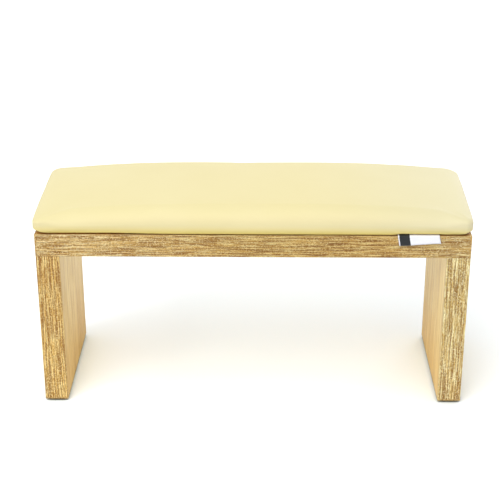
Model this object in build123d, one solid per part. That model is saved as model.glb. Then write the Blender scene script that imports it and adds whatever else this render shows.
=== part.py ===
from build123d import *
import os

# Wrist rest: a small bridge of three banded boards that carries an upholstered pad.
#
# Frame: millimetres, +Z up, origin on the table under the middle of the rest, +X along the
# length, the front at -Y.  Each function builds one physical piece, or one group of
# identical fasteners, and PIECES at the end gives each of them its node's name.

# --- Driving dimensions -----------------------------------------------------------------
BOARD_T = 16.0          # melamine-faced chipboard
STAND_LENGTH = 292.0    # over the edge bands of the top board
STAND_DEPTH = 100.0     # over the edge bands, front to back
LEG_HEIGHT = 110.0      # leg with its bottom band

BAND_T = 1.0            # PVC edge band
BAND_ROUND = 0.25       # scraped arris along the band's long edges

FELT_T = 1.5            # self-adhesive felt strip under each leg
FELT_WIDTH = 12.6
FELT_LENGTH = 95.0
FELT_CORNER = 1.5

COVER_T = 0.9           # leatherette
PAD_LENGTH = 296.0      # over the widest part of the bulging sides
PAD_DEPTH = 104.0
PAD_HEIGHT = 18.8       # crown above the top board
PAD_CORNER = 10.0       # corner seen from above
PAD_SHOULDER = 6.0      # rounding from the sides into the crown
PAD_TUCK = 4.0          # rounding from the sides to the underside
CROWN_DROP_LONG = 5.2   # how far the crown falls from the middle to each end
CROWN_DROP_DEEP = 2.2   # how far it falls from the middle to the front and back
FLAP_WIDTH = 20.0       # cover folded under the base

BASE_T = 6.0            # plywood
BASE_LENGTH = 287.0
BASE_DEPTH = 95.0
BASE_CORNER = 5.0

FRAME_SCREW_Y = 30.0    # from the middle plane to each confirmat screw
PAD_SCREW_X = 92.0
PAD_SCREW_Y = 20.0

TAG_WIDTH = 28.5
TAG_DROP = 7.2          # how far the folded ribbon hangs below the top board's upper face
TAG_INSET = 9.0         # how far its two ends reach in under the pad
TAG_X = 110.6           # its middle, towards the right end
RIBBON_T = 0.16

# --- Derived places ---------------------------------------------------------------------
LEG_BOTTOM = FELT_T
LEG_TOP = LEG_BOTTOM + LEG_HEIGHT
DECK = LEG_TOP + BOARD_T                     # upper face of the top board
LEG_X = STAND_LENGTH / 2 - BOARD_T / 2       # middle plane of each leg
BASE_BOTTOM = DECK + COVER_T
BASE_TOP = BASE_BOTTOM + BASE_T
SIDES = {"left": -1, "right": 1}
FRONT_BACK = {"front": -1, "back": 1}


# --- Fasteners --------------------------------------------------------------------------
def turned(profile):
    """A solid of revolution about Z from (radius, height) points that start and end on the axis."""
    outline = Polyline(*[(r, 0, z) for r, z in profile], close=True)
    return revolve(make_face(outline), Axis.Z, 360)


def ridges(core, crest, start, end, pitch):
    """Saw-tooth points of a coarse wood thread, from start down to end."""
    upper_flank, lower_flank = 0.45 * pitch, 0.15 * pitch
    points = []
    for turn in range(int((start - end) / pitch)):
        top = start - turn * pitch
        tip = top - upper_flank
        points += [(core, top), (crest, tip), (core, tip - lower_flank)]
    return points


def confirmat():
    """7 x 50 mm chipboard screw with a hexagon socket, head up, its face at z = 0."""
    head_r, shank_r, core_r, crest_r = 5.0, 3.4, 2.4, 3.3
    rim, neck, shank_end, thread_end, tip = -0.6, -2.8, -12.0, -46.0, -50.0
    socket_across, socket_depth = 4.0, 2.4
    profile = [(0, 0), (head_r, 0), (head_r, rim), (shank_r, neck), (shank_r, shank_end)]
    profile += ridges(core_r, crest_r, shank_end - 1.0, thread_end, 3.0)
    profile += [(core_r, thread_end), (0, tip)]
    socket = extrude(RegularPolygon(socket_across / 2, 6, major_radius=False), -socket_depth)
    return turned(profile) - socket


def pad_screw():
    """3.5 x 20 mm countersunk screw with a cross recess, head down, its face at z = 0."""
    head_r, core_r, crest_r = 3.4, 1.2, 1.75
    rim, neck, thread_start, thread_end, tip = -0.4, -2.4, -7.0, -17.6, -20.0
    recess_long, recess_wide, recess_depth = 3.6, 0.9, 1.5
    profile = [(0, 0), (head_r, 0), (head_r, rim), (core_r, neck)]
    profile += ridges(core_r, crest_r, thread_start, thread_end, 1.6)
    profile += [(core_r, thread_end), (0, tip)]
    recess = Box(recess_long, recess_wide, recess_depth * 2)
    recess += Box(recess_wide, recess_long, recess_depth * 2)
    return Rot(180, 0, 0) * (turned(profile) - recess)


def staple():
    """Upholstery staple, crown along X at z = 0, legs up."""
    crown, leg, wire, deep = 12.8, 6.0, 0.65, 0.95
    outer = Pos(0, 0, leg / 2) * Box(crown, deep, leg)
    inner = Pos(0, 0, leg / 2 + wire) * Box(crown - 2 * wire, deep * 2, leg)
    return outer - inner


def frame_screw_places(side):
    return [Pos(SIDES[side] * LEG_X, y, DECK) for y in (-FRAME_SCREW_Y, FRAME_SCREW_Y)]


def pad_screw_places():
    return [Pos(x, y, LEG_TOP) for x in (-PAD_SCREW_X, PAD_SCREW_X) for y in (-PAD_SCREW_Y, PAD_SCREW_Y)]


def staple_places():
    """Places round the flap: rows along each side and one across each corner's pleat."""
    pressed_in = 0.08    # the staples' crowns lie this deep in the flap
    crown_z = DECK + pressed_in
    row_x, row_y = BASE_LENGTH / 2 - 9.0, BASE_DEPTH / 2 - 9.0
    long_count, short_count = 9, 2
    long_pitch, short_pitch = 27.0, 24.0
    corner_in = 4.0
    places = []
    for sign in (-1, 1):
        for i in range(long_count):
            x = (i - (long_count - 1) / 2) * long_pitch
            places.append(Pos(x, sign * row_y, crown_z))
        for i in range(short_count):
            y = (i - (short_count - 1) / 2) * short_pitch
            places.append(Pos(sign * row_x, y, crown_z) * Rot(0, 0, 90))
        for across in (-1, 1):
            x, y = sign * (row_x - corner_in), across * (row_y - corner_in)
            places.append(Pos(x, y, crown_z) * Rot(0, 0, -45 * sign * across))
    return places


def group(solid, places):
    """Copies of one fastener at several places, kept as separate solids."""
    return Compound(children=[copy for place in places for copy in (place * solid).solids()])


def frame_screws(side):
    return group(confirmat(), frame_screw_places(side))


def pad_screws():
    return group(pad_screw(), pad_screw_places())


def cover_staples():
    return group(staple(), staple_places())


def without(solid, fasteners):
    """The solid with the room that each fastener takes cut out of it."""
    for fastener in fasteners.solids():
        solid -= fastener
    return solid


# --- Boards and their edge bands --------------------------------------------------------
def top_board():
    clear_hole_r, pad_hole_r = 3.5, 2.0
    board = Pos(0, 0, LEG_TOP + BOARD_T / 2)
    board *= Box(STAND_LENGTH - 2 * BAND_T, STAND_DEPTH - 2 * BAND_T, BOARD_T)
    for side in SIDES:
        for place in frame_screw_places(side):
            board -= place * Cylinder(clear_hole_r, BOARD_T * 2)
        board = without(board, frame_screws(side))
    for place in pad_screw_places():
        board -= place * Cylinder(pad_hole_r, BOARD_T * 2)
    return without(board, pad_screws())


def leg_board(side):
    pilot_r, pilot_depth = 2.4, 40.0
    height = LEG_HEIGHT - BAND_T
    board = Pos(SIDES[side] * LEG_X, 0, LEG_TOP - height / 2)
    board *= Box(BOARD_T, STAND_DEPTH - 2 * BAND_T, height)
    for place in frame_screw_places(side):
        pilot = Pos(0, 0, -BOARD_T - pilot_depth / 2) * Cylinder(pilot_r, pilot_depth)
        board -= place * pilot
    return without(board, frame_screws(side))


def band(length, long_axis, face_axis, outward):
    """A strip of edge band centred on the origin: BAND_T thick along face_axis, BOARD_T wide,
    its two outer long edges rounded.  outward is -1 or 1 along face_axis."""
    sizes = {"X": BOARD_T, "Y": BOARD_T, "Z": BOARD_T}
    sizes[long_axis] = length
    sizes[face_axis] = BAND_T
    strip = Box(sizes["X"], sizes["Y"], sizes["Z"])
    axes = {"X": Axis.X, "Y": Axis.Y, "Z": Axis.Z}
    run = strip.edges().filter_by(axes[long_axis])
    outer = run.sort_by(axes[face_axis])[-2:] if outward > 0 else run.sort_by(axes[face_axis])[:2]
    return fillet(outer, BAND_ROUND)


def top_long_band(face):
    sign = FRONT_BACK[face]
    place = Pos(0, sign * (STAND_DEPTH - BAND_T) / 2, LEG_TOP + BOARD_T / 2)
    return place * band(STAND_LENGTH - 2 * BAND_T, "X", "Y", sign)


def top_end_band(side):
    sign = SIDES[side]
    place = Pos(sign * (STAND_LENGTH - BAND_T) / 2, 0, LEG_TOP + BOARD_T / 2)
    return place * band(STAND_DEPTH, "Y", "X", sign)


def leg_long_band(side, face):
    sign = FRONT_BACK[face]
    height = LEG_HEIGHT - BAND_T
    place = Pos(SIDES[side] * LEG_X, sign * (STAND_DEPTH - BAND_T) / 2, LEG_TOP - height / 2)
    return place * band(height, "Z", "Y", sign)


def leg_bottom_band(side):
    place = Pos(SIDES[side] * LEG_X, 0, LEG_BOTTOM + BAND_T / 2)
    return place * band(STAND_DEPTH, "Y", "Z", -1)


def felt_strip(side):
    outline = RectangleRounded(FELT_WIDTH, FELT_LENGTH, FELT_CORNER)
    return Pos(SIDES[side] * LEG_X, 0, 0) * extrude(outline, FELT_T)


# --- Pad --------------------------------------------------------------------------------
def crown(inset):
    """A barrel whose top is the pad's crowned upper face, lower by inset."""
    half_long, half_deep = PAD_LENGTH / 2, PAD_DEPTH / 2
    bend_long = half_long**2 / (2 * CROWN_DROP_LONG)
    bend_deep = half_deep**2 / (2 * CROWN_DROP_DEEP)
    top = DECK + PAD_HEIGHT - inset
    barrel = Torus(bend_long - bend_deep, bend_deep)
    return Pos(0, 0, top - bend_long) * Rot(90, 0, 0) * barrel


def pad_form(inset):
    """The upholstered pad's outer shape, drawn in by inset on every side."""
    outline = RectangleRounded(PAD_LENGTH - 2 * inset, PAD_DEPTH - 2 * inset, PAD_CORNER - inset)
    over_crown = PAD_HEIGHT * 1.5
    form = Pos(0, 0, DECK + inset) * extrude(outline, over_crown)
    form = form & crown(inset)
    highest = form.faces().sort_by(Axis.Z)[-1]
    form = fillet(highest.edges(), PAD_SHOULDER - inset)
    lowest = form.faces().sort_by(Axis.Z)[0]
    return fillet(lowest.edges(), PAD_TUCK - inset)


def pad_base():
    outline = RectangleRounded(BASE_LENGTH, BASE_DEPTH, BASE_CORNER)
    base = Pos(0, 0, BASE_BOTTOM) * extrude(outline, BASE_T)
    return without(without(base, pad_screws()), cover_staples())


def pad_foam():
    outline = RectangleRounded(BASE_LENGTH, BASE_DEPTH, BASE_CORNER)
    room_for_base = Pos(0, 0, BASE_BOTTOM) * extrude(outline, BASE_T)
    return pad_form(COVER_T) - room_for_base


def pad_cover():
    opening = Box(BASE_LENGTH - 2 * FLAP_WIDTH, BASE_DEPTH - 2 * FLAP_WIDTH, COVER_T * 4)
    skin = pad_form(0) - pad_form(COVER_T) - Pos(0, 0, DECK) * opening
    skin = without(skin, cover_staples())
    return skin - tag_room()


# --- Ribbon tag -------------------------------------------------------------------------
def tag_side(thickness):
    """The folded ribbon seen from the end: in under the pad, over the board's front, down."""
    front = -STAND_DEPTH / 2
    bend = 1.0
    clear = 0.02         # between the ribbon and the board's upper face
    away = 0.35          # the ribbon hangs this far in front of the front band
    lean = 0.35          # and springs out by this much more at its fold
    bottom_z, top_z = DECK + clear, DECK + clear + thickness
    inner_y, over_y = front + TAG_INSET, front - away + bend
    turn = (front - away, bottom_z - bend)
    low = (turn[0] - lean, DECK - TAG_DROP)
    outer_low = (low[0] - thickness, low[1])
    outer_turn = (turn[0] - thickness, turn[1])
    centre = (over_y, turn[1])
    outline = Line((inner_y, bottom_z), (over_y, bottom_z))
    outline += CenterArc(centre, bend, 90, 90)
    outline += Line(turn, low)
    outline += Line(low, outer_low)
    outline += Line(outer_low, outer_turn)
    outline += CenterArc(centre, bend + thickness, 90, 90)
    outline += Line((over_y, top_z), (inner_y, top_z))
    outline += Line((inner_y, top_z), (inner_y, bottom_z))
    return make_face(outline)


def ribbon_tag():
    side = Plane.YZ * tag_side(2 * RIBBON_T)
    return Pos(TAG_X - TAG_WIDTH / 2, 0, 0) * extrude(side, TAG_WIDTH, dir=(1, 0, 0))


def tag_room():
    """The dent that the ribbon presses into the cover's flap, open to the front."""
    spare, high, past_edge = 0.3, 0.5, 4.0
    length = TAG_INSET + spare + past_edge
    dent = Box(TAG_WIDTH + 2 * spare, length, 2 * high)
    return Pos(TAG_X, -STAND_DEPTH / 2 - past_edge + length / 2, DECK) * dent


# --- Nodes ------------------------------------------------------------------------------
PIECES = {
    "top_board": top_board(),
    "pad_base": pad_base(),
    "pad_foam": pad_foam(),
    "pad_cover": pad_cover(),
    "cover_staples": cover_staples(),
    "pad_screws": pad_screws(),
    "ribbon_tag": ribbon_tag(),
}
for face in FRONT_BACK:
    PIECES[f"top_board_{face}_band"] = top_long_band(face)
for side in SIDES:
    PIECES[f"top_board_{side}_band"] = top_end_band(side)
    PIECES[f"{side}_leg_board"] = leg_board(side)
    PIECES[f"{side}_leg_bottom_band"] = leg_bottom_band(side)
    PIECES[f"{side}_leg_screws"] = frame_screws(side)
    PIECES[f"{side}_felt_strip"] = felt_strip(side)
    for face in FRONT_BACK:
        PIECES[f"{side}_leg_{face}_band"] = leg_long_band(side, face)

os.makedirs("parts", exist_ok=True)
for name, piece in PIECES.items():
    export_step(piece, f"parts/{name}.step")
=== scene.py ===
import math
from functools import partial

import bpy
import numpy as np
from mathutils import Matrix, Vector


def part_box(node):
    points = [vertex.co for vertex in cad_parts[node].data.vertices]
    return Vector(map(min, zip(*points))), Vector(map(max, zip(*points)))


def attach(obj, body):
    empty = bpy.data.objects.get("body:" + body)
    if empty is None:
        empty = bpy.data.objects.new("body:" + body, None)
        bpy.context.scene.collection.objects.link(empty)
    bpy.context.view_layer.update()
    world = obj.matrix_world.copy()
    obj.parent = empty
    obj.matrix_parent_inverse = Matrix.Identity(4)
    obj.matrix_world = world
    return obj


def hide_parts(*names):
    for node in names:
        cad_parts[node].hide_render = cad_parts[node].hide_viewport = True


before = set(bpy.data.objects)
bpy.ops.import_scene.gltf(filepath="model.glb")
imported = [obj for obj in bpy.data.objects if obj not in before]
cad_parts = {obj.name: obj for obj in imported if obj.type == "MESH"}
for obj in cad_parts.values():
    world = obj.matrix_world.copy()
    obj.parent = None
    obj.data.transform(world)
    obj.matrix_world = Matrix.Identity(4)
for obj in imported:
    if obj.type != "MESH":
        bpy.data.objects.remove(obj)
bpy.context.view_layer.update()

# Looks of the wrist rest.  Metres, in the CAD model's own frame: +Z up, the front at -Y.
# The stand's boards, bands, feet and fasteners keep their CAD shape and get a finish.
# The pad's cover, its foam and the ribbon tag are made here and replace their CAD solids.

MM = 0.001
WHITE = (1.0, 1.0, 1.0, 1.0)

# --- Places from the frame ----------------------------------------------------------------
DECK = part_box("top_board")[1].z                      # upper face of the top board
COVER_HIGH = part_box("pad_cover")[1]
HALF_LONG, HALF_DEEP = COVER_HIGH.x, COVER_HIGH.y
PAD_HEIGHT = COVER_HIGH.z - DECK
BASE_LOW, BASE_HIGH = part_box("pad_base")
TAG_LOW, TAG_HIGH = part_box("ribbon_tag")
BAND_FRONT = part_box("top_board_front_band")[0].y

# --- The pad's own shape ------------------------------------------------------------------
CORNER_FRONT = 6 * MM       # corners seen from above
CORNER_BACK = (8 * MM, 11.5 * MM)   # left and right
SHOULDER = 11 * MM          # how far in the crown begins to round into the sides
SHOULDER_SHARE = (0.56, 0.27)   # how far down that goes, as a share of the side's height,
                                # on the long sides and at the ends
TUCK = 3.6 * MM             # how far in the sides curve towards the underside
TUCK_SHARE = (0.42, 0.26)   # and how high up that begins, on the long sides and at the ends
ROUNDING = (2.0, 2.6)       # power of both curves on the long sides and at the ends: 2 is
                            # an ellipse, more is squarer
CURVE_PACE = 0.8            # below 1, the rings of both curves crowd at their steeper end
END_START = 22 * MM         # how far from the ends their values begin to take over,
END_FADE = 18 * MM          # and over what length
SAG = 0.5 * MM              # how far the overhanging edge hangs in front of the board
CORNER_LIFT = 2.2 * MM      # how far the lower edge stands off the deck at the corners,
TAG_LIFT = 0.45 * MM        # over the ribbon
END_LIFT = 0.6 * MM         # and along the ends
CORNER_PEAK = (1.5 * MM, 3.6 * MM)  # in from the outline's end and side, where its corner
                                    # lifts most
CORNER_REACH = (5.2 * MM, 8 * MM)   # how far the lift spreads from there, along and across
BASE_ROUND = 3 * MM         # rounding of the ground round the base that doesn't lift,
BASE_MARGIN = 1 * MM        # how much wider than the base that ground is,
BASE_FADE = 1.2 * MM        # and how far past it the lift comes back
DOWN_LEFT = (-100 * MM, 50 * MM)    # where the long edges lie down, coming from the left:
DOWN_RIGHT = (135 * MM, 20 * MM)    # place and length of the change; and from the right
FLAP = 20 * MM              # cover folded under the base
FLAP_CLEAR = 0.06 * MM      # between the flap and the top board
COVER_T = 0.8 * MM
FOAM_CLEAR = 0.9 * MM       # between the foam and the cover's inner face
CROWN_RISE = 1.45 * MM      # how far the stuffing lifts the middle above the cut height
CROWN_DROP_LONG = 7 * MM    # fall of the crown from the middle to the ends
CROWN_DROP_DEEP = 2.4 * MM  # and to the front and back
CROWN_LEAN = 0.35 * MM      # the pad is a little fuller towards its right end
CROWN_POWER = 3.2
FULL_LEFT = (0.0, 0.7 * MM)     # how far the ends bulge past the cut shape, front and back
FULL_RIGHT = (-0.6 * MM, 1.3 * MM)
SWELL = 0.7 * MM            # how far the stuffed cover may swell from its cut shape
CUT_IN = SWELL * 0.7        # how much smaller it is cut, for the swelling to make up
CLOTH_FRAMES = 20
CELL = 3.4 * MM             # size of the grid's cells
CORNER_CELLS = 3            # cells along each half of a corner
SHOULDER_STEPS, SIDE_STEPS, TUCK_STEPS, FLAP_STEPS = 7, 3, 7, 4
PLEAT_DEPTH = 0.55 * MM
PLEAT_TOP = 8.5 * MM        # where the pleats run out, above the deck
PLEAT_WIDTH = 0.16          # radians round the corner
PLEAT_TURNS = (0.45, 1.12)  # where the two pleats lie, in radians from the end

# --- The ribbon tag -----------------------------------------------------------------------
RIBBON_T = 0.16 * MM
TAG_TUCKED = 9 * MM         # how far both ends reach in under the pad
TAG_DROP = (6.7 * MM, 5.1 * MM)     # how far the fold hangs at its left and right ends
TAG_TRIM = 0.8 * MM         # how much narrower the ribbon is than its CAD solid, at its left
TAG_SLANT = 1.1 * MM        # sideways drift from the board's edge to the fold
TAG_STRIPE = (0.035, 0.29)  # where the dark woven stripe lies across the ribbon
TAG_BEND = 0.9 * MM         # radius with which it turns over the board's edge
TAG_LEAN = 0.25 * MM        # how far the fold stands out in front of the turn
TAG_OFF = 0.35 * MM         # between the board's band and the inner layer, and between the layers
TAG_COLUMNS, TAG_ROWS = 36, 8


# --- Node trees ---------------------------------------------------------------------------
class Finish:
    """A material whose colour, roughness and relief come from nodes."""

    def __init__(self, name, **shader):
        self.material = bpy.data.materials.new(name)
        self.material.use_nodes = True
        self.tree = self.material.node_tree
        self.shader = self.tree.nodes["Principled BSDF"]
        for socket, value in shader.items():
            self.shader.inputs[socket.replace("_", " ")].default_value = value
        spot = self.tree.nodes.new("ShaderNodeTexCoord")
        self.place = spot.outputs["Object"]
        self.normal = spot.outputs["Normal"]

    def node(self, kind, *values, **settings):
        """A node with its inputs given in order; a socket is linked and None is left alone."""
        made = self.tree.nodes.new("ShaderNode" + kind)
        for key, value in settings.items():
            setattr(made, key, value)
        for socket, value in zip([s for s in made.inputs if s.enabled], values):
            if isinstance(value, bpy.types.NodeSocket):
                self.tree.links.new(value, socket)
            elif value is not None:
                socket.default_value = value
        return made

    def math(self, operation, a, b=None):
        return self.node("Math", a, b, operation=operation).outputs[0]

    def vector(self, operation, a, b=None):
        return self.node("VectorMath", a, b, operation=operation).outputs[0]

    def along(self, axis):
        """The place along one axis, in metres."""
        return self.node("SeparateXYZ", self.place).outputs["XYZ".index(axis)]

    def facing(self, axis):
        """How squarely the surface faces along one axis, from -1 to 1."""
        return self.node("SeparateXYZ", self.normal).outputs["XYZ".index(axis)]

    def noise(self, scale, detail=2.0, roughness=0.5, place=None, seed=0.0):
        """Noise whose features have the size 1/scale along each axis, in metres."""
        spot = self.vector("MULTIPLY", place or self.place, scale)
        spot = self.vector("ADD", spot, (seed, seed * 1.7, seed * 2.3))
        made = self.node("TexNoise", spot, noise_dimensions="3D")
        made.inputs["Scale"].default_value = 1.0
        made.inputs["Detail"].default_value = detail
        made.inputs["Roughness"].default_value = roughness
        return made.outputs["Fac"]

    def ridges(self, place, axis, pitch, drift, sway=16.0):
        """A wave from -1 to 1 across the grain, every pitch millimetres, shifted by the drift."""
        parts = self.node("SeparateXYZ", place).outputs
        first, second = (parts["XYZ".index(other)] for other in "XYZ" if other != axis)
        across = self.math("MULTIPLY", self.math("ADD", first, second), 2 * math.pi / (pitch * MM))
        return self.math("SINE", self.math("ADD", across, self.math("MULTIPLY", drift, sway)))

    def between(self, value, low, high):
        """0 below low, 1 above high and smooth between them."""
        made = self.node("MapRange", value, low, high, 0.0, 1.0, interpolation_type="SMOOTHSTEP")
        return made.outputs[0]

    def mix(self, factor, a, b, blend="MIX"):
        """Colour a where the factor is 0 and b where it is 1, or blended as told."""
        made = self.tree.nodes.new("ShaderNodeMix")
        made.data_type = "RGBA"
        made.blend_type = blend
        for index, value in ((0, factor), (6, a), (7, b)):
            if isinstance(value, bpy.types.NodeSocket):
                self.tree.links.new(value, made.inputs[index])
            else:
                made.inputs[index].default_value = value
        return made.outputs[2]

    def over(self, colour, mask, top, share=1.0):
        """The colour, with a share of another over it where the mask is 1."""
        return self.mix(self.math("MULTIPLY", mask, share), colour, top)

    def tint(self, colour, mask, low, high=WHITE):
        """The colour times low where the mask is 0 and times high where it is 1."""
        return self.mix(1.0, colour, self.mix(mask, low, high), "MULTIPLY")

    def openness(self, reach):
        """1 on open surfaces, less where something lies within reach in front of them."""
        return self.node("AmbientOcclusion", None, reach, samples=8).outputs["AO"]

    def crevice_shade(self, colour, reach, shade_colour):
        """The colour, darkened by painted shade where something else lies close in front of it."""
        return self.tint(colour, self.between(self.openness(reach), 0.1, 0.75), shade_colour)

    def colour(self, socket):
        self.tree.links.new(socket, self.shader.inputs["Base Color"])

    def roughness(self, value, smooth, rough):
        """Roughness from smooth where the value is 0 to rough where it is 1."""
        made = self.node("MapRange", value, 0.0, 1.0, smooth, rough)
        self.tree.links.new(made.outputs[0], self.shader.inputs["Roughness"])

    def relief(self, height, depth, strength=1.0):
        """Bumps of up to that depth."""
        made = self.tree.nodes.new("ShaderNodeBump")
        made.inputs["Strength"].default_value = strength
        made.inputs["Distance"].default_value = depth
        self.tree.links.new(height, made.inputs["Height"])
        self.tree.links.new(made.outputs["Normal"], self.shader.inputs["Normal"])


def srgb(red, green, blue):
    """A linear colour from the 0 to 255 numbers that a colour picker shows."""
    def linear(channel):
        share = channel / 255
        return share / 12.92 if share <= 0.04045 else ((share + 0.055) / 1.055) ** 2.4
    return (linear(red), linear(green), linear(blue), 1.0)


def grained(axis, along, across):
    """Noise scale for grain along an axis: features of those two sizes, in millimetres."""
    scale = [1 / (across * MM)] * 3
    scale["XYZ".index(axis)] = 1 / (along * MM)
    return tuple(scale)


# --- Materials ----------------------------------------------------------------------------
def wavy_place(finish, axis, wave, length):
    """The place moved across the grain by up to wave, so that the grain wanders."""
    drift = finish.tree.nodes.new("ShaderNodeTexNoise")
    spot = finish.vector("MULTIPLY", finish.place, grained(axis, length, length / 6))
    finish.tree.links.new(spot, drift.inputs["Vector"])
    drift.inputs["Scale"].default_value = 1.0
    drift.inputs["Detail"].default_value = 1.5
    push = finish.vector("SUBTRACT", drift.outputs["Color"], (0.5, 0.5, 0.5))
    amount = [wave * MM] * 3
    amount["XYZ".index(axis)] = 0.0
    push = finish.vector("MULTIPLY", push, tuple(amount))
    return finish.vector("ADD", finish.place, push)


def band_marks(finish, axis, wavy, regular):
    """Noises behind the band's printed marks, each as fine as the marks it makes."""
    drift = finish.noise(grained(axis, 50, 3.5), 1, seed=4.4)
    ridges = finish.ridges(wavy, axis, 2.1, drift)
    lines = finish.noise(grained(axis, 26, 0.56), 1, 0.4, wavy, 3.1)
    lines = finish.math("ADD", lines, finish.math("MULTIPLY", ridges, regular))
    fine = finish.noise(grained(axis, 14, 0.48), 1, 0.5, wavy, 7.7)
    pores = finish.noise(grained(axis, 1.3, 0.44), 1, 0.6, wavy, 5.3)
    flecks = finish.noise(grained(axis, 1.0, 0.5), 1, 0.6, wavy, 1.9)
    return lines, fine, pores, flecks


def cross_marks(finish, axis):
    """Mask of the light rays and ticks that cross the band's grain."""
    rays = finish.noise(grained(axis, 0.6, 7), 1, 0.5, finish.place, 9.4)
    ticks = finish.noise(grained(axis, 0.7, 1.6), 1, 0.5, finish.place, 2.6)
    return finish.math("MAXIMUM", finish.between(rays, 0.66, 0.74), finish.between(ticks, 0.68, 0.74))


def edge_highlight(finish):
    """Mask of the rounded edges, where a highlight is painted: where the surface faces along no axis."""
    parts = [finish.math("ABSOLUTE", finish.facing(axis)) for axis in "XYZ"]
    flat = finish.math("MAXIMUM", parts[0], finish.math("MAXIMUM", parts[1], parts[2]))
    return finish.math("SUBTRACT", 1.0, finish.between(flat, 0.8, 0.97))


def cast_over(finish, colour, axis, tone_and_light):
    """The colour times the factor that holds at its place, from (millimetres, factor) stops."""
    along = finish.along(axis)
    shade = (*tone_and_light[0][1], 1.0)
    for (start, _), (end, factor) in zip(tone_and_light, tone_and_light[1:]):
        shade = finish.mix(finish.between(along, start * MM, end * MM), shade, (*factor, 1.0))
    return finish.mix(1.0, colour, shade, "MULTIPLY")


def coarse_oak(name, axis, tone_and_light=((0.0, (0.98, 0.95, 0.78)),), regular=0.07):
    """Printed edge band: short dark and bleached streaks with a few light rays across,
    with a painted highlight on its rounded edges and painted shade in its crevices.

    The colour stops are a list of (place along the grain in millimetres, colour factor) stops;
    on the legs' front bands they hold painted light as well as tone.
    The more regular, the more the streaks keep an even distance.
    """
    finish = Finish(name, Roughness=0.5)
    wavy = wavy_place(finish, axis, 0.9, 20)
    tone = finish.noise(grained(axis, 30, 4), 2, place=wavy)
    lines, fine, pores, flecks = band_marks(finish, axis, wavy, regular)
    streak = finish.between(lines, 0.49, 0.56)
    colour = finish.mix(finish.between(tone, 0.3, 0.7), srgb(188, 146, 74), srgb(201, 161, 92))
    for mask, top, share in (
        (finish.between(fine, 0.52, 0.6), srgb(234, 212, 160), 1.0),
        (streak, srgb(128, 80, 14), 0.85),
        (finish.between(pores, 0.54, 0.64), srgb(124, 78, 14), 0.65),
        (finish.between(flecks, 0.55, 0.65), srgb(238, 219, 172), 0.65),
        (cross_marks(finish, axis), srgb(232, 212, 166), 0.55),
        # Painted highlight on the band's rounded edges.
        (edge_highlight(finish), srgb(240, 220, 174), 0.6),
    ):
        colour = finish.over(colour, mask, top, share)
    # Colour stops along the grain; on the legs' front bands they are partly painted light.
    colour = cast_over(finish, colour, axis, tone_and_light)
    # Painted shade where the pad and other parts lie close in front.
    finish.colour(finish.crevice_shade(colour, 2 * MM, (0.25, 0.14, 0.05, 1)))
    finish.roughness(streak, 0.46, 0.62)
    finish.relief(finish.math("SUBTRACT", 1.0, streak), 0.06 * MM, 0.5)
    return finish.material


def oak_face(finish, axis, shaded_below=None):
    """Colour and relief of the boards' smooth oak-effect faces, with painted shade below a height: darker
    and warmer towards the floor.
    """
    wavy = wavy_place(finish, axis, 12.0, 160)
    tone = finish.noise(grained(axis, 160, 14), 2, place=wavy)
    streak = finish.noise(grained(axis, 90, 2.8), 3, 0.6, wavy, 2.2)
    fine = finish.noise(grained(axis, 30, 1.3), 2, 0.6, wavy, 6.1)
    pores = finish.noise(grained(axis, 5, 0.4), 1, 0.5, wavy, 8.9)
    dots = finish.between(pores, 0.64, 0.74)
    colour = finish.mix(finish.between(tone, 0.3, 0.7), srgb(232, 199, 121), srgb(246, 219, 146))
    colour = finish.over(colour, finish.between(streak, 0.47, 0.6), srgb(206, 165, 86), 0.7)
    colour = finish.over(colour, finish.between(fine, 0.5, 0.62), srgb(250, 229, 174), 0.75)
    colour = finish.over(colour, dots, srgb(160, 116, 62), 0.4)
    if shaded_below:
        # Painted shade: darker and warmer towards the floor.
        colour = finish.tint(colour, finish.between(finish.along("Z"), 0.0, shaded_below), (0.93, 0.79, 0.54, 1))
    return colour, dots


def chipboard(finish):
    """Colour of the boards' core, seen on cut edges and in the screw holes."""
    chips = finish.node("TexVoronoi", finish.place, None, 520.0)
    speck = finish.noise((900, 900, 900), 3, 0.6)
    colour = finish.mix(chips.outputs["Color"], srgb(176, 140, 92), srgb(214, 184, 136))
    return finish.mix(finish.between(speck, 0.5, 0.7), colour, srgb(140, 104, 64))


def board(name, axis, thickness_axis, shaded_below=None):
    """Melamine-faced board: oak on its two broad faces, chipboard on every cut face, with painted shade
    in crevices and, given a height, below it.
    """
    finish = Finish(name, Roughness=0.5)
    broad = finish.between(finish.math("ABSOLUTE", finish.facing(thickness_axis)), 0.85, 0.95)
    colour, dots = oak_face(finish, axis, shaded_below)
    colour = finish.mix(broad, chipboard(finish), colour)
    # Painted shade where other parts lie close in front.
    finish.colour(finish.crevice_shade(colour, 6 * MM, (0.45, 0.2, 0.04, 1)))
    finish.roughness(broad, 0.8, 0.42)
    finish.relief(finish.math("SUBTRACT", 1.0, dots), 0.03 * MM, 0.5)
    return finish.material


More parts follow.
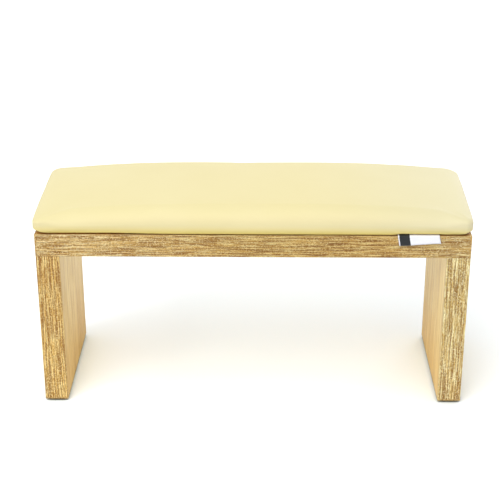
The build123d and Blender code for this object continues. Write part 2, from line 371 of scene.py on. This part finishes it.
def leatherette_colour(finish, tone, cells):
    """Cream, with painted light and shade.

    Darker and yellower low on the sides as painted shade, a touch paler and cooler where
    it doesn't face up, cooler towards the right and paler on the right end as painted
    sheen, and painted shade in crevices.
    """
    red, green, blue = tone
    patch = finish.noise((26, 26, 26), 2, 0.5)
    colour = finish.mix(patch, srgb(red - 3, green - 4, blue - 7), srgb(red + 2, green + 2, blue + 4))
    colour = finish.over(colour, cells, srgb(red - 12, green - 16, blue - 26), 0.25)
    # Painted shade: darker and yellower low on the sides, where the cover turns under.
    high = finish.between(finish.along("Z"), DECK - 1 * MM, DECK + 8 * MM)
    colour = finish.tint(colour, high, (1.02, 0.885, 0.33, 1))
    # Painted light: a touch paler and cooler where the cover doesn't face up.
    level = finish.between(finish.facing("Z"), 0.35, 0.95)
    colour = finish.tint(colour, level, (1.02, 1.0, 1.03, 1))
    # Painted sheen: cooler towards the right.
    right_sheen = finish.between(finish.along("X"), 20 * MM, 150 * MM)
    colour = finish.tint(colour, right_sheen, WHITE, (0.955, 0.985, 1.12, 1))
    # Painted sheen: paler on the right end.
    end = finish.between(finish.facing("X"), 0.25, 0.9)
    colour = finish.tint(colour, end, WHITE, (1.14, 1.12, 1.16, 1))
    # Painted shade where the deck lies close in front.
    return finish.crevice_shade(colour, 1.2 * MM, (0.5, 0.33, 0.1, 1))


def leatherette(name, tone):
    """Soft embossed vinyl: fine pebbles with a slightly uneven gloss."""
    finish = Finish(name, Roughness=0.5, Specular_IOR_Level=0.32, Sheen_Weight=0.15,
                    Sheen_Roughness=0.4)
    pebble = finish.node("TexVoronoi", finish.place, None, 1150.0, feature="SMOOTH_F1")
    cells = finish.between(pebble.outputs["Distance"], 0.15, 0.75)
    fine = finish.noise((2600, 2600, 2600), 2, 0.6)
    pebbles = finish.math("ADD", finish.math("MULTIPLY", cells, -0.8), finish.math("MULTIPLY", fine, 0.4))
    finish.colour(leatherette_colour(finish, tone, cells))
    finish.roughness(fine, 0.48, 0.62)
    finish.relief(pebbles, 0.08 * MM, 0.35)
    return finish.material


def woven(name, warp, weft):
    """Narrow satin ribbon: close warp ribs crossed by finer weft."""
    finish = Finish(name, Roughness=0.55, Sheen_Weight=0.2)
    ribs = finish.node("TexWave", finish.place, 2600.0, wave_type="BANDS", bands_direction="X")
    picks = finish.node("TexWave", finish.place, 3400.0, wave_type="BANDS", bands_direction="Z")
    weave = finish.math("MULTIPLY", ribs.outputs["Fac"], picks.outputs["Fac"])
    finish.colour(finish.mix(weave, warp, weft))
    finish.roughness(weave, 0.6, 0.5)
    finish.relief(weave, 0.05 * MM, 0.5)
    return finish.material


def felt():
    """Short dark fibres in uneven clumps."""
    finish = Finish("felt", Roughness=0.95, Sheen_Weight=0.4)
    fibres = finish.noise((2400, 700, 2400), 4, 0.7)
    clumps = finish.noise((300, 300, 300), 2, 0.5)
    colour = finish.mix(fibres, srgb(40, 36, 32), srgb(84, 76, 66))
    finish.colour(finish.mix(finish.between(clumps, 0.4, 0.7), colour, srgb(62, 56, 48)))
    finish.relief(fibres, 0.3 * MM, 0.8)
    return finish.material


def plywood():
    """Birch plies stacked along Z, with grain along X and Y in turn, and painted shade in crevices."""
    finish = Finish("plywood", Roughness=0.7)
    ply = finish.math("FRACT", finish.math("MULTIPLY", finish.along("Z"), 1 / (2.4 * MM)))
    turned = finish.between(ply, 0.45, 0.55)
    long_grain = finish.noise(grained("X", 30, 0.8), 3, 0.6)
    cross_grain = finish.noise(grained("Y", 30, 0.8), 3, 0.6, seed=4.0)
    pale = finish.mix(long_grain, srgb(206, 176, 130), srgb(230, 206, 166))
    dark = finish.mix(cross_grain, srgb(170, 134, 88), srgb(206, 172, 122))
    # Painted shade where other parts lie close in front.
    finish.colour(finish.crevice_shade(finish.mix(turned, pale, dark), 4 * MM, (0.2, 0.12, 0.05, 1)))
    finish.relief(long_grain, 0.1 * MM, 0.4)
    return finish.material


def foam_finish():
    """Open-celled upholstery foam, with painted shade in crevices."""
    finish = Finish("foam", Roughness=0.9)
    cells = finish.node("TexVoronoi", finish.place, None, 1500.0)
    walls = finish.between(cells.outputs["Distance"], 0.2, 0.7)
    colour = finish.mix(walls, srgb(226, 214, 182), srgb(246, 240, 220))
    # Painted shade where other parts lie close in front.
    finish.colour(finish.crevice_shade(colour, 4 * MM, (0.2, 0.12, 0.05, 1)))
    finish.relief(walls, 0.25 * MM, 0.8)
    return finish.material


def steel(name, tint, rough):
    """Plated or drawn steel wire with fine scratches."""
    finish = Finish(name, Metallic=1.0, Roughness=rough)
    scratch = finish.noise((4000, 400, 400), 2, 0.6)
    cloud = finish.noise((500, 500, 500), 2, 0.5)
    red, green, blue = tint
    finish.colour(finish.mix(cloud, srgb(red - 18, green - 18, blue - 20), srgb(red, green, blue)))
    finish.roughness(scratch, rough - 0.08, rough + 0.12)
    finish.relief(scratch, 0.02 * MM, 0.3)
    return finish.material


# --- Mesh building ------------------------------------------------------------------------
def new_mesh_object(name, points, faces, smooth=True):
    """An object in the scene with the mesh of these points and faces."""
    mesh = bpy.data.meshes.new(name)
    mesh.from_pydata([tuple(p) for p in points], [], faces)
    mesh.validate()
    if smooth:
        mesh.shade_smooth()
    piece = bpy.data.objects.new(name, mesh)
    bpy.context.scene.collection.objects.link(piece)
    return piece


def apply_modifiers(piece):
    """Replace the piece's mesh by what its modifiers make of it."""
    shown = piece.evaluated_get(bpy.context.evaluated_depsgraph_get())
    mesh = bpy.data.meshes.new_from_object(shown)
    old = piece.data
    piece.modifiers.clear()
    piece.data = mesh
    mesh.name = piece.name
    bpy.data.meshes.remove(old)


def thicken(piece, thickness, offset):
    """Give a skin its thickness: all inside for an offset of -1, half each way for 0."""
    thick = piece.modifiers.new("thickness", "SOLIDIFY")
    thick.thickness = thickness
    thick.offset = offset
    apply_modifiers(piece)


def smooth_step(value):
    """0 up to 0, 1 from 1 and smooth between them."""
    value = np.clip(value, 0.0, 1.0)
    return value * value * (3 - 2 * value)


def grid_steps(core, corner_cells):
    """Steps along one side as (share of the straight core, share of the corner)."""
    count = max(4, round(2 * core / CELL))
    straight = [(share, 0.0) for share in np.linspace(-1, 1, count + 1)]
    bend = [i / corner_cells for i in range(1, corner_cells + 1)]
    return [(-1, -c) for c in reversed(bend)] + straight + [(1, c) for c in bend]


class PadGrid:
    """Box topology of the pad: a top grid whose border continues down as rings."""

    def __init__(self):
        self.columns = grid_steps(HALF_LONG - CORNER_FRONT, CORNER_CELLS)
        self.rows = grid_steps(HALF_DEEP - CORNER_FRONT, CORNER_CELLS)
        last_i, last_j = len(self.columns) - 1, len(self.rows) - 1
        border = [(i, 0) for i in range(last_i)]
        border += [(last_i, j) for j in range(last_j)]
        border += [(i, last_j) for i in range(last_i, 0, -1)]
        border += [(0, j) for j in range(last_j, 0, -1)]
        self.border = border

    def outline_point(self, i, j, inset):
        """Seen from above, where grid step (i, j) lies on a sheet drawn in by inset."""
        (along, bend_x), (across, bend_y) = self.columns[i], self.rows[j]
        back = CORNER_BACK[int(along > 0)]
        corner = CORNER_FRONT + (back - CORNER_FRONT) * (across + 1) / 2
        radius = max(corner - inset, 1.0 * MM)
        half = (HALF_LONG - inset - radius, HALF_DEEP - inset - radius)
        x = half[0] * along + radius * bend_x * math.sqrt(1 - bend_y**2 / 2)
        y = half[1] * across + radius * bend_y * math.sqrt(1 - bend_x**2 / 2)
        front, back = FULL_RIGHT if x > 0 else FULL_LEFT
        full = front + (back - front) * (y / HALF_DEEP + 1) / 2
        return x * (1 + full / HALF_LONG), y

    def sheet(self, inset):
        """Points of the whole grid, row by row."""
        spots = [(i, j) for j in range(len(self.rows)) for i in range(len(self.columns))]
        return np.array([self.outline_point(i, j, inset) for i, j in spots])

    def ring(self, inset):
        """Points of the grid's border, all the way round."""
        return np.array([self.outline_point(i, j, inset) for i, j in self.border])

    def sheet_index(self, i, j):
        return j * len(self.columns) + i

    def sheet_faces(self, start=0, flip=False):
        """Quads of the whole grid, facing up unless flipped."""
        faces = []
        for j in range(len(self.rows) - 1):
            for i in range(len(self.columns) - 1):
                corners = [(i, j), (i + 1, j), (i + 1, j + 1), (i, j + 1)]
                face = [start + self.sheet_index(*c) for c in corners]
                faces.append(face[::-1] if flip else face)
        return faces

    def border_indices(self, start=0):
        return [start + self.sheet_index(i, j) for i, j in self.border]


def join_rings(upper, lower):
    """Quads between two closed rings of vertex numbers, facing out when the first is higher."""
    count = len(upper)
    return [[upper[k], lower[k], lower[(k + 1) % count], upper[(k + 1) % count]] for k in range(count)]


# --- Pad ----------------------------------------------------------------------------------
def crown_height(x, y):
    """Height above the deck of the pad's upper face, before its edges are rounded."""
    along = np.abs(x) / HALF_LONG
    across = np.abs(y) / HALF_DEEP
    drop = CROWN_DROP_LONG * along**CROWN_POWER + CROWN_DROP_DEEP * across**2
    return PAD_HEIGHT + CROWN_RISE - drop + CROWN_LEAN * x / HALF_LONG


def side_share(shares, x):
    """A share of the side's height, going from its long-side value to its end value."""
    at_end = smooth_step((np.abs(x) - HALF_LONG + END_START) / END_FADE)
    return shares[0] + (shares[1] - shares[0]) * at_end


def off_base(x, y):
    """0 over the plywood base and close round it, 1 a little further out."""
    out_x = np.maximum(np.abs(x) - BASE_HIGH.x + BASE_ROUND, 0)
    out_y = np.maximum(np.abs(y) - BASE_HIGH.y + BASE_ROUND, 0)
    return np.clip((np.hypot(out_x, out_y) - BASE_ROUND - BASE_MARGIN) / BASE_FADE, 0, 1)


def corner_nearness(x, y):
    """1 at the four corners of the outline, 0 a little way in and over the plywood base."""
    along = (HALF_LONG - CORNER_PEAK[0] - np.abs(x)) / CORNER_REACH[0]
    across = (HALF_DEEP - CORNER_PEAK[1] - np.abs(y)) / CORNER_REACH[1]
    near = np.maximum(1 - np.hypot(np.maximum(along, 0), np.maximum(across, 0)), 0)
    return near * off_base(x, y)


def tag_nearness(x, y):
    """1 where the ribbon runs out under the pad's front edge, 0 away from it."""
    side = 2.5 * MM
    across = smooth_step((x - TAG_LOW.x) / side + 0.6) * smooth_step((TAG_HIGH.x - x) / side + 0.6)
    return across * smooth_step((-HALF_DEEP + 16 * MM - y) / (4 * MM))


def middle_nearness(x):
    """1 along the middle of the long sides, 0 near the ends, where the pad's edge lifts."""
    from_left = smooth_step((x - DOWN_LEFT[0]) / DOWN_LEFT[1])
    return from_left * smooth_step((DOWN_RIGHT[0] - x) / DOWN_RIGHT[1])


def underside_lift(x, y):
    """How far the pad's lower edge stands off: at the corners, the ribbon and the ends."""
    ends = END_LIFT * (1 - middle_nearness(x))
    return CORNER_LIFT * corner_nearness(x, y) + TAG_LIFT * tag_nearness(x, y) + ends


class PadProfile:
    """The pad's side in section: from the crown round the shoulder, down and round the tuck.

    Each height is above the deck.  It depends on the place, because the profile changes
    from the long sides to the ends and the corners.  The whole profile is drawn in by
    shrink, but its last ring lies at the lowest height, plus the underside's lift.
    """

    def __init__(self, shrink, lowest):
        self.shrink = shrink
        self.lowest = lowest
        self.bottom = FLAP_CLEAR + shrink

    def edge(self, x, y):
        """Height of the whole side."""
        return crown_height(x, y) - self.shrink - self.bottom

    def left_across(self, covered, x):
        """What is left across a curve of the profile once that share is covered along it."""
        power = side_share(ROUNDING, x)
        return (1 - covered**power) ** (1 / power)

    def shoulder(self, covered, x, y):
        """Height where that share of the shoulder is covered, going out."""
        fall = side_share(SHOULDER_SHARE, x) * self.edge(x, y) * (1 - self.left_across(covered, x))
        return crown_height(x, y) - self.shrink - fall

    def side(self, share, x, y):
        """Height at a share of the way down the straight side."""
        edge = self.edge(x, y)
        high = crown_height(x, y) - self.shrink - side_share(SHOULDER_SHARE, x) * edge
        low = self.bottom + side_share(TUCK_SHARE, x) * edge
        return high + (low - high) * share

    def tuck(self, share, left, x, y):
        """Height at a share of the turn under, with that much of it left to go in."""
        rise = underside_lift(x, y)
        start = side_share(TUCK_SHARE, x) * self.edge(x, y)
        hang = 2.5 * share**3 * (1 - share**6) * middle_nearness(x) * (1 - tag_nearness(x, y))
        low = self.bottom + (self.lowest - self.bottom) * share**6
        return low + rise + (start - rise) * (1 - self.left_across(left, x)) - SAG * hang

    def rings(self):
        """(inset, height as a function of x and y) for each ring, top to bottom."""
        for step in range(1, SHOULDER_STEPS + 1):
            covered = math.sin(math.pi / 2 * step / SHOULDER_STEPS) ** CURVE_PACE
            yield SHOULDER * (1 - covered), partial(self.shoulder, covered)
        for step in range(1, SIDE_STEPS):
            yield 0.0, partial(self.side, step / SIDE_STEPS)
        for step in range(TUCK_STEPS + 1):
            share = step / TUCK_STEPS
            left = math.cos(math.pi / 2 * share) ** CURVE_PACE
            yield TUCK * (1 - left), partial(self.tuck, share, left)


def add_ring(points, grid, inset, height):
    """Add a ring of points at a height above the deck, and return their numbers."""
    flat = grid.ring(inset)
    start = len(points)
    points.extend((x, y, DECK + height(x, y)) for x, y in flat)
    return list(range(start, len(points)))


def cover_skin(grid, shrink):
    """Points and faces of the cover's outer skin, open under the base, and where its flap starts."""
    sheet = grid.sheet(SHOULDER + shrink)
    points = [(x, y, DECK + crown_height(x, y) - shrink) for x, y in sheet]
    faces = grid.sheet_faces()
    ring = grid.border_indices()
    for inset, height in PadProfile(shrink, FLAP_CLEAR).rings():
        lower = add_ring(points, grid, inset + shrink, height)
        faces += join_rings(ring, lower)
        ring = lower
    flap_start = ring[0]
    for step in range(1, FLAP_STEPS + 1):
        share = step / FLAP_STEPS
        inset = TUCK + (FLAP - TUCK) * share
        lower = add_ring(points, grid, inset + shrink,
                         lambda x, y: FLAP_CLEAR + underside_lift(x, y) * (1 - share**3))
        faces += join_rings(ring, lower)
        ring = lower
    return points, faces, flap_start


def stuffing_cloth(piece, held):
    """Cloth of soft vinyl, blown up from inside, with its held points stapled down."""
    group = piece.vertex_groups.new(name="stapled")
    group.add(held, 1.0, "REPLACE")
    cloth = piece.modifiers.new("stuffing", "CLOTH")
    settings = cloth.settings
    settings.quality = 6
    settings.mass = 0.25
    settings.tension_stiffness = 25
    settings.compression_stiffness = 25
    settings.shear_stiffness = 10
    settings.bending_stiffness = 2
    settings.use_pressure = True
    settings.uniform_pressure_force = 4
    settings.vertex_group_mass = "stapled"
    settings.effector_weights.gravity = 0
    cloth.collision_settings.use_collision = False
    return cloth


def stuff(piece, held):
    """Swell the cover by cloth simulation, and cap how far it moves."""
    start = np.array([v.co for v in piece.data.vertices])
    cloth = stuffing_cloth(piece, held)
    for step in range(1, CLOTH_FRAMES + 1):
        bpy.context.scene.frame_set(step)
    shown = piece.evaluated_get(bpy.context.evaluated_depsgraph_get())
    moved = np.array([v.co for v in shown.data.vertices]) - start
    piece.modifiers.remove(cloth)
    bpy.context.scene.frame_set(1)
    far = np.linalg.norm(moved, axis=1, keepdims=True)
    moved *= SWELL / (SWELL + far)
    piece.data.vertices.foreach_set("co", (start + moved).ravel())
    piece.data.update()


def pleat(piece):
    """Press the folds that gather the leatherette at each corner's underside."""
    centre = (HALF_LONG - CORNER_FRONT, HALF_DEEP - CORNER_FRONT)
    for vertex in piece.data.vertices:
        x, y, z = vertex.co
        out_x, out_y = abs(x) - centre[0], abs(y) - centre[1]
        if out_x <= 0 or out_y <= 0:
            continue
        turn = math.atan2(out_y, out_x)
        fade = float(smooth_step(1 - (z - DECK) / PLEAT_TOP))
        press = sum(math.exp(-((turn - at) / PLEAT_WIDTH) ** 2) for at in PLEAT_TURNS)
        away = Vector((math.copysign(out_x, x), math.copysign(out_y, y), 0)).normalized()
        vertex.co -= away * PLEAT_DEPTH * press * fade


def pad_cover(grid):
    """The cover: a fitted skin, swollen by its stuffing, pleated and given its thickness."""
    points, faces, flap_start = cover_skin(grid, CUT_IN)
    piece = new_mesh_object("leatherette_cover", points, faces)
    stuff(piece, list(range(flap_start, len(points))))
    piece.modifiers.new("smooth", "SUBSURF").levels = 1
    apply_modifiers(piece)
    pleat(piece)
    thicken(piece, COVER_T, -1)
    piece.data.shade_smooth()
    piece.data.materials.clear()
    piece.data.materials.append(leatherette("leatherette", (223, 213, 164)))
    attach(piece, "root")
    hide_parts("pad_cover")


def pad_foam(grid):
    """Foam block over the plywood base and round its edge, inside the cover."""
    inward = COVER_T + FOAM_CLEAR
    sheet = grid.sheet(SHOULDER + inward)
    points = [(x, y, DECK + crown_height(x, y) - inward) for x, y in sheet]
    faces = grid.sheet_faces()
    ring = grid.border_indices()
    for inset, height in PadProfile(inward, FLAP_CLEAR + inward).rings():
        lower = add_ring(points, grid, inset + inward, height)
        faces += join_rings(ring, lower)
        ring = lower
    base_inset = HALF_LONG - BASE_HIGH.x
    for level in (BASE_LOW.z + 1 * MM, BASE_HIGH.z):
        lower = add_ring(points, grid, base_inset, lambda x, y: level - DECK)
        faces += join_rings(ring, lower)
        ring = lower
    ceiling = len(points)
    points.extend((x, y, BASE_HIGH.z) for x, y in grid.sheet(base_inset + 1 * MM))
    faces += join_rings(ring, grid.border_indices(ceiling))
    faces += grid.sheet_faces(ceiling, flip=True)
    piece = new_mesh_object("foam_block", points, faces)
    piece.data.materials.append(foam_finish())
    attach(piece, "root")
    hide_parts("pad_foam")


# --- Ribbon tag ---------------------------------------------------------------------------
def ribbon_layer(layer, away, drop):
    """(y, z, share hung) along one layer, from under the pad, over the edge and down."""
    reach = TAG_TUCKED - TAG_BEND + away
    path = [(BAND_FRONT + TAG_TUCKED - k * reach / 3, layer, 0.0) for k in range(3)]
    for turn in np.linspace(0, math.pi / 2, 5):
        path.append((BAND_FRONT - away + TAG_BEND * (1 - math.sin(turn)),
                     layer - TAG_BEND * (1 - math.cos(turn)), 0.0))
    hang = drop - (DECK - layer) - TAG_BEND
    for row in range(1, TAG_ROWS):
        share = row / TAG_ROWS
        path.append((BAND_FRONT - away - TAG_LEAN * share**2, layer - TAG_BEND - hang * share, share))
    return path


def ribbon_line(drop):
    """(y, z, share hung) along the folded ribbon, seen from its end, outer layer first."""
    inner = DECK + 0.1 * MM
    outer = inner + 1.5 * RIBBON_T
    fold = (BAND_FRONT - 1.5 * TAG_OFF - TAG_LEAN, DECK - drop, 1.0)
    return [*ribbon_layer(outer, 2 * TAG_OFF, drop), fold, *ribbon_layer(inner, TAG_OFF, drop)[::-1]]


def ribbon_points(left, width):
    """Points of the ribbon, column by column, hanging askew with a soft wave in the fold."""
    points = []
    for column in range(TAG_COLUMNS + 1):
        share = column / TAG_COLUMNS
        drop = TAG_DROP[0] + (TAG_DROP[1] - TAG_DROP[0]) * share
        drop += 0.18 * MM * math.sin(share * 5.5 + 0.6)
        for y, z, hung in ribbon_line(drop):
            wave = 0.22 * MM * math.sin(share * 7.0 + 0.4) * hung
            points.append((left + share * width + TAG_SLANT * (hung - 0.5), y - abs(wave), z))
    return points


def ribbon_tag():
    """Folded satin ribbon with a dark woven stripe."""
    left = TAG_LOW.x + TAG_TRIM
    width = TAG_HIGH.x - left
    points = ribbon_points(left, width)
    rows = len(points) // (TAG_COLUMNS + 1)
    starts = [column * rows + row for column in range(TAG_COLUMNS) for row in range(rows - 1)]
    faces = [[a, a + 1, a + rows + 1, a + rows] for a in starts]
    piece = new_mesh_object("woven_tag", points, faces)
    piece.data.materials.append(woven("ribbon_white", srgb(234, 233, 239), srgb(247, 246, 250)))
    piece.data.materials.append(woven("ribbon_dark", srgb(10, 15, 17), srgb(24, 31, 35)))
    for index, face in enumerate(piece.data.polygons):
        share = (index // (rows - 1) + 0.5) / TAG_COLUMNS
        face.material_index = int(TAG_STRIPE[0] < share < TAG_STRIPE[1])
    thicken(piece, RIBBON_T, 0)
    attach(piece, "root")
    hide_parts("ribbon_tag")


# --- Finishes of the CAD nodes ------------------------------------------------------------
def front_bands():
    """Finishes of the three front bands, whose colours change along them: the beam darker from its middle
    rightwards, lifting again at its right end; the legs with painted light, the left one lighter towards
    the floor and the right one paler all over.
    """
    beam = [(-110, (1.01, 1.02, 0.94)), (10, (0.87, 0.83, 0.6)),
            (90, (0.86, 0.8, 0.56)), (135, (0.93, 0.95, 0.86))]
    left = [(0, (1.17, 1.16, 0.92)), (110, (1.02, 0.95, 0.69))]
    right = [(0, (1.11, 1.2, 1.2)), (110, (1.08, 1.22, 1.28))]
    return {
        "top_board_front_band": coarse_oak("oak_band_front", "X", beam),
        "left_leg_front_band": coarse_oak("oak_band_left", "Z", left, 0.11),
        "right_leg_front_band": coarse_oak("oak_band_right", "Z", right, 0.11),
    }


def finish_cad_nodes():
    """Give every CAD node that stays in the scene its material."""
    bands = {axis: coarse_oak(f"oak_band_{axis}".lower(), axis) for axis in "XYZ"}
    zinc = steel("zinc_steel", (214, 212, 206), 0.3)
    leg = board("oak_leg_board", "Z", "X", 90 * MM)
    feet = felt()
    finishes = front_bands() | {
        "top_board": board("oak_top_board", "X", "Z"),
        "top_board_back_band": bands["X"],
        "pad_base": plywood(),
        "pad_screws": zinc,
        "cover_staples": steel("staple_wire", (200, 200, 204), 0.35),
    }
    for side in ("left", "right"):
        finishes[f"top_board_{side}_band"] = bands["Y"]
        finishes[f"{side}_leg_board"] = leg
        finishes[f"{side}_leg_back_band"] = bands["Z"]
        finishes[f"{side}_leg_bottom_band"] = bands["Y"]
        finishes[f"{side}_felt_strip"] = feet
        finishes[f"{side}_leg_screws"] = zinc
    for name, material in finishes.items():
        for material_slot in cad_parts[name].material_slots:
            material_slot.material = material


# --- Stage --------------------------------------------------------------------------------
def floor_glow(finish):
    """Light that the floor gives off to the camera only, as a whitened studio floor would.

    It grows away from the stand and to its left, and fades in the shade close to the feet, where it turns
    greenish yellow as painted bounce light from the wood.
    """
    away = finish.node("VectorMath", finish.place, operation="LENGTH").outputs["Value"]
    lit = finish.node("MapRange", away, 0.2, 1.0, 0.18, 0.9, interpolation_type="SMOOTHSTEP").outputs[0]
    left = finish.node("MapRange", finish.along("X"), -0.06, -0.13, 0.0, 0.13).outputs[0]
    lit = finish.math("ADD", lit, left)
    open_sky = finish.openness(30 * MM)
    # Painted bounce light: the glow turns greenish yellow in the shade near the feet.
    tint = finish.mix(open_sky, srgb(240, 255, 225), WHITE)
    finish.tree.links.new(tint, finish.shader.inputs["Emission Color"])
    glow = finish.math("MULTIPLY", lit, finish.between(open_sky, 0.05, 0.75))
    glow = finish.math("MULTIPLY", glow, finish.node("LightPath").outputs["Is Camera Ray"])
    finish.tree.links.new(glow, finish.shader.inputs["Emission Strength"])


def floor():
    """Plain pale paper, with a painted contact shadow where the feet meet it."""
    half = 6.0
    corners = [(-half, -half, 0), (half, -half, 0), (half, half, 0), (-half, half, 0)]
    plane = new_mesh_object("floor", corners, [[0, 1, 2, 3]], smooth=False)
    finish = Finish("paper", Roughness=0.9, Specular_IOR_Level=0.1)
    paper = finish.mix(finish.noise((300, 300, 300), 2), srgb(231, 236, 239), srgb(235, 240, 243))
    # Painted contact shadow where the feet stand close.
    finish.colour(finish.crevice_shade(paper, 6 * MM, (0.3, 0.27, 0.17, 1)))
    floor_glow(finish)
    plane.data.materials.append(finish.material)


def surroundings(strength):
    """Even light from all round, in front of a backdrop that is white in the picture."""
    world = bpy.data.worlds.new("studio")
    bpy.context.scene.world = world
    world.use_nodes = True
    tree = world.node_tree
    background = tree.nodes["Background"]
    seen = tree.nodes.new("ShaderNodeLightPath").outputs["Is Camera Ray"]
    power = tree.nodes.new("ShaderNodeMapRange")
    power.inputs["To Min"].default_value = strength
    power.inputs["To Max"].default_value = 1.1
    tree.links.new(seen, power.inputs["Value"])
    tree.links.new(power.outputs["Result"], background.inputs["Strength"])
    background.inputs["Color"].default_value = WHITE


def softbox(name, place, target, size, power):
    """Rectangular lamp at a place, turned towards its target."""
    light = bpy.data.lights.new(name, "AREA")
    light.shape = "RECTANGLE"
    light.size, light.size_y = size
    light.energy = power
    lamp = bpy.data.objects.new(name, light)
    lamp.location = place
    lamp.rotation_euler = (Vector(target) - Vector(place)).to_track_quat("-Z", "Y").to_euler()
    bpy.context.scene.collection.objects.link(lamp)


def camera():
    """A long lens at the front, a little right of the middle, looking down by 24 degrees."""
    place = Vector((6.3, -841.1, 468.8)) * MM
    turn, tilt = math.radians(-0.59), math.radians(23.98)
    ahead = Vector((math.sin(turn) * math.cos(tilt), math.cos(turn) * math.cos(tilt), -math.sin(tilt)))
    lens = bpy.data.cameras.new("camera")
    lens.sensor_width = 36
    lens.lens = 93.2
    lens.clip_start = 0.05
    eye = bpy.data.objects.new("camera", lens)
    eye.location = place
    eye.rotation_euler = ahead.to_track_quat("-Z", "Y").to_euler()
    bpy.context.scene.collection.objects.link(eye)
    bpy.context.scene.camera = eye


def studio():
    """Floor, light and camera, with colours shown as they are."""
    bpy.context.scene.view_settings.view_transform = "Standard"
    bpy.context.scene.view_settings.look = "None"
    floor()
    surroundings(0.6)
    softbox("key", (-0.45, -0.7, 2.85), (0, 0, 0.08), (2.4, 2.0), 33)
    softbox("fill", (-1.2, -2.0, 2.1), (0, 0, 0.08), (2.2, 1.0), 42)
    softbox("backdrop", (0, 2.2, 0.9), (0, 0, 0.5), (3.4, 1.8), 12)
    softbox("rim", (0.75, 1.1, 0.62), (0.1, 0, 0.12), (0.5, 0.4), 3)
    camera()


# --- The rest -----------------------------------------------------------------------------
GRID = PadGrid()
pad_cover(GRID)
pad_foam(GRID)
ribbon_tag()
finish_cad_nodes()
studio()
